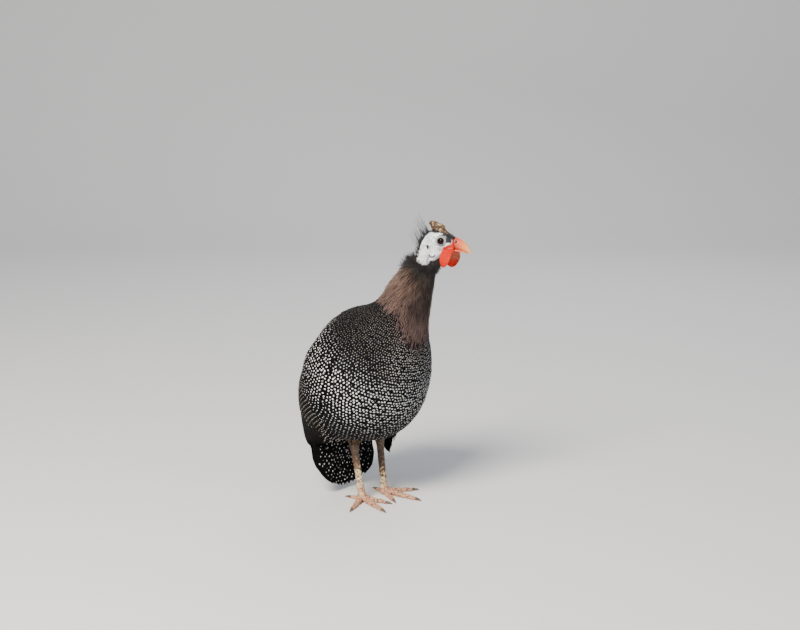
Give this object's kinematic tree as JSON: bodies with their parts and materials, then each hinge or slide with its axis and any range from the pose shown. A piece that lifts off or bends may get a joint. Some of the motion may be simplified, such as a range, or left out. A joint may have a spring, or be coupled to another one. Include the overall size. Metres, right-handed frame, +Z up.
{
  "type": "guinea fowl",
  "caption": "Standing helmeted guinea fowl with a bare head, horn casque, red wattles, pearl-spotted body and hanging tail.",
  "frame": {"origin": "on the floor, under the middle of the bird's bounding box", "axes": "+X the way the body faces, +Y the bird's left, +Z up"},
  "size_m": [0.2542, 0.2002, 0.4121],
  "materials": {
    "body_feathers": "soft dark grey feathers with white pearl spots",
    "wing_feathers": "dark grey feathers with fine white spots and bars",
    "tail_feathers": "near black feathers with white spots",
    "neck_feathers": "narrow lilac-brown hackles",
    "face_skin": "bare bluish white skin with dark lore and crown",
    "casque_horn": "rough ochre-brown horn",
    "bill_horn": "orange-pink horn, paler at the tip",
    "wattle_skin": "bright red bare skin",
    "eye": "glossy dark brown",
    "leg_scales": "scaly skin, brown above and yellowish pink below",
    "claw": "dark horn"
  },
  "bodies": {
    "root": {"bill_lower": "bill_horn", "bill_upper": "bill_horn", "casque": "casque_horn", "claw_hind_left": "claw", "claw_hind_right": "claw", "claw_inner_left": "claw", "claw_inner_right": "claw", "claw_middle_left": "claw", "claw_middle_right": "claw", "claw_outer_left": "claw", "claw_outer_right": "claw", "eye_left": "eye", "eye_right": "eye", "foot_left": "leg_scales", "foot_right": "leg_scales", "head": "face_skin", "neck": "neck_feathers", "shank_left": "leg_scales", "shank_right": "leg_scales", "tail": "tail_feathers", "thigh_left": "body_feathers", "thigh_right": "body_feathers", "torso": "body_feathers", "wattle_left": "wattle_skin", "wattle_right": "wattle_skin", "wing_left": "wing_feathers", "wing_right": "wing_feathers"}
  },
  "joints": []
}
